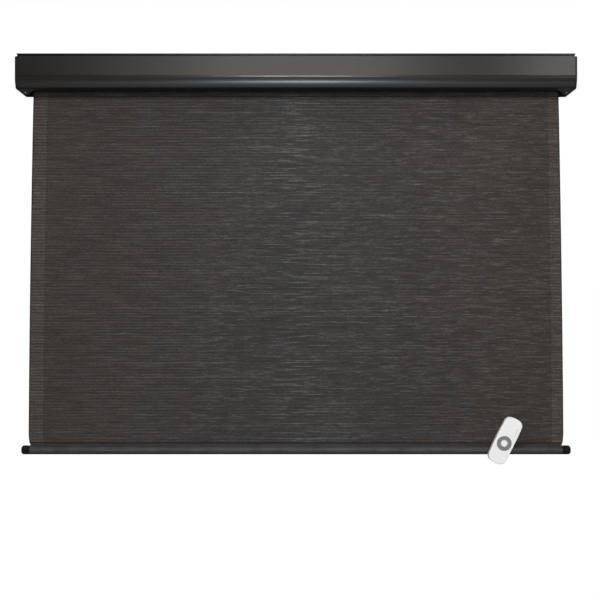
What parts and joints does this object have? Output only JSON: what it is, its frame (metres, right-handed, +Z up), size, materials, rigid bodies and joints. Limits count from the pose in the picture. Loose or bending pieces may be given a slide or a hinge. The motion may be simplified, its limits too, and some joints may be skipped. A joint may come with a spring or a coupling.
{
  "type": "motorized outdoor roller shade",
  "caption": "Wide outdoor roller shade with a bronze headbox, motor driven tube, charcoal cloth, round weighted hem bar and a white hand-held remote.",
  "frame": {"origin": "centre of the four wall screw holes, in the wall plane at half the headbox's height", "axes": "+X along the width towards the motor end, +Y into the wall, +Z up; the front faces -Y"},
  "size_m": [1.829, 0.115, 1.3419],
  "materials": {
    "bronze_coat": "satin dark bronze powder coat",
    "black_moulding": "fine textured black moulding",
    "black_steel": "black coated sheet steel",
    "bright_screw": "zinc plated",
    "mill_aluminium": "mill finish extrusion",
    "screen_cloth": "knitted charcoal shade cloth with fine slubs",
    "spline_rod": "drawn rod",
    "pale_nylon": "natural nylon",
    "grey_nylon": "filled nylon",
    "motor_coat": "plated steel tube",
    "spring_wire": "oiled spring wire",
    "inlet_black": "moulded socket",
    "orange_button": "moulded button",
    "white_case": "satin white case",
    "ring_grey": "satin light grey with turned grooves",
    "light_window": "smoked light window",
    "board_green": "circuit board",
    "mat_rubber": "soft key mat",
    "cell_steel": "coin cell can",
    "contact_metal": "sprung contact"
  },
  "bodies": {
    "root": {"top_rail": "bronze_coat", "front_fascia": "bronze_coat", "end_cap_left": "black_moulding", "end_cap_right": "black_moulding", "bracket_left": "black_steel", "bracket_right": "black_steel", "end_cap_screws": "bright_screw", "rail_screws": "bright_screw", "fascia_screws": "bright_screw", "idler_bush": "pale_nylon", "motor_head": "grey_nylon", "motor_housing": "motor_coat", "motor_screws": "bright_screw", "power_inlet": "inlet_black", "fabric_panel": "screen_cloth", "remote_top_shell": "white_case", "remote_back_shell": "white_case", "remote_status_lights": "light_window", "remote_circuit_board": "board_green", "remote_key_mat": "mat_rubber", "remote_battery": "cell_steel", "remote_battery_holder": "grey_nylon", "remote_battery_contact": "contact_metal", "remote_case_screws": "bright_screw"},
    "roller": {"roller_tube": "mill_aluminium", "fabric_spline": "spline_rod", "fabric_roll": "screen_cloth", "idler_plug": "grey_nylon", "idler_end_plug": "pale_nylon", "idler_spring": "spring_wire", "crown_ring": "pale_nylon", "drive_wheel": "pale_nylon", "motor_output_shaft": "motor_coat", "drive_wheel_clip": "spring_wire"},
    "idler_pin": {"idler_pin": "bright_screw"},
    "hem_bar": {"hem_pocket": "screen_cloth", "hem_tube": "mill_aluminium", "hem_cap_left": "black_moulding", "hem_cap_right": "black_moulding"},
    "setting_button": {"setting_button": "orange_button"},
    "remote_ring": {"remote_ring_pad": "ring_grey"},
    "remote_stop": {"remote_stop_button": "white_case"},
    "remote_door": {"remote_battery_door": "white_case"}
  },
  "joints": [
    {"name": "shade_lift", "type": "slide", "parent": "root", "child": "hem_bar", "axis": [0, 0, 1], "range_m": [0, 1.165], "deforming": ["fabric_panel"]},
    {"name": "roller_spin", "type": "hinge", "parent": "root", "child": "roller", "pos_m": [0, -0.06, 0], "axis": [1, 0, 0], "range_deg": [0, 2400]},
    {"name": "idler_pin_retract", "type": "slide", "parent": "roller", "child": "idler_pin", "axis": [1, 0, 0], "range_m": [0, 0.008], "stiffness_N_per_m": 600, "springref_m": -0.01, "deforming": ["idler_spring"]},
    {"name": "setting_press", "type": "slide", "parent": "root", "child": "setting_button", "axis": [0, 0, 1], "range_m": [0, 0.0015], "stiffness_N_per_m": 300},
    {"name": "ring_rock", "type": "hinge", "parent": "root", "child": "remote_ring", "pos_m": [0.68473, -0.06903, -1.2166], "axis": [0.8957, 0, -0.4446], "range_deg": [-1, 1], "stiffness_Nm_per_rad": 2},
    {"name": "stop_press", "type": "slide", "parent": "root", "child": "remote_stop", "axis": [0, 1, 0], "range_m": [0, 0.0005], "stiffness_N_per_m": 400},
    {"name": "battery_door_slide", "type": "slide", "parent": "root", "child": "remote_door", "axis": [-0.4446, 0, -0.8957], "range_m": [0, 0.056]}
  ],
  "couplings": [
    {"joint": "roller_spin", "follows": "shade_lift", "rad_per_m": 35.619}
  ]
}
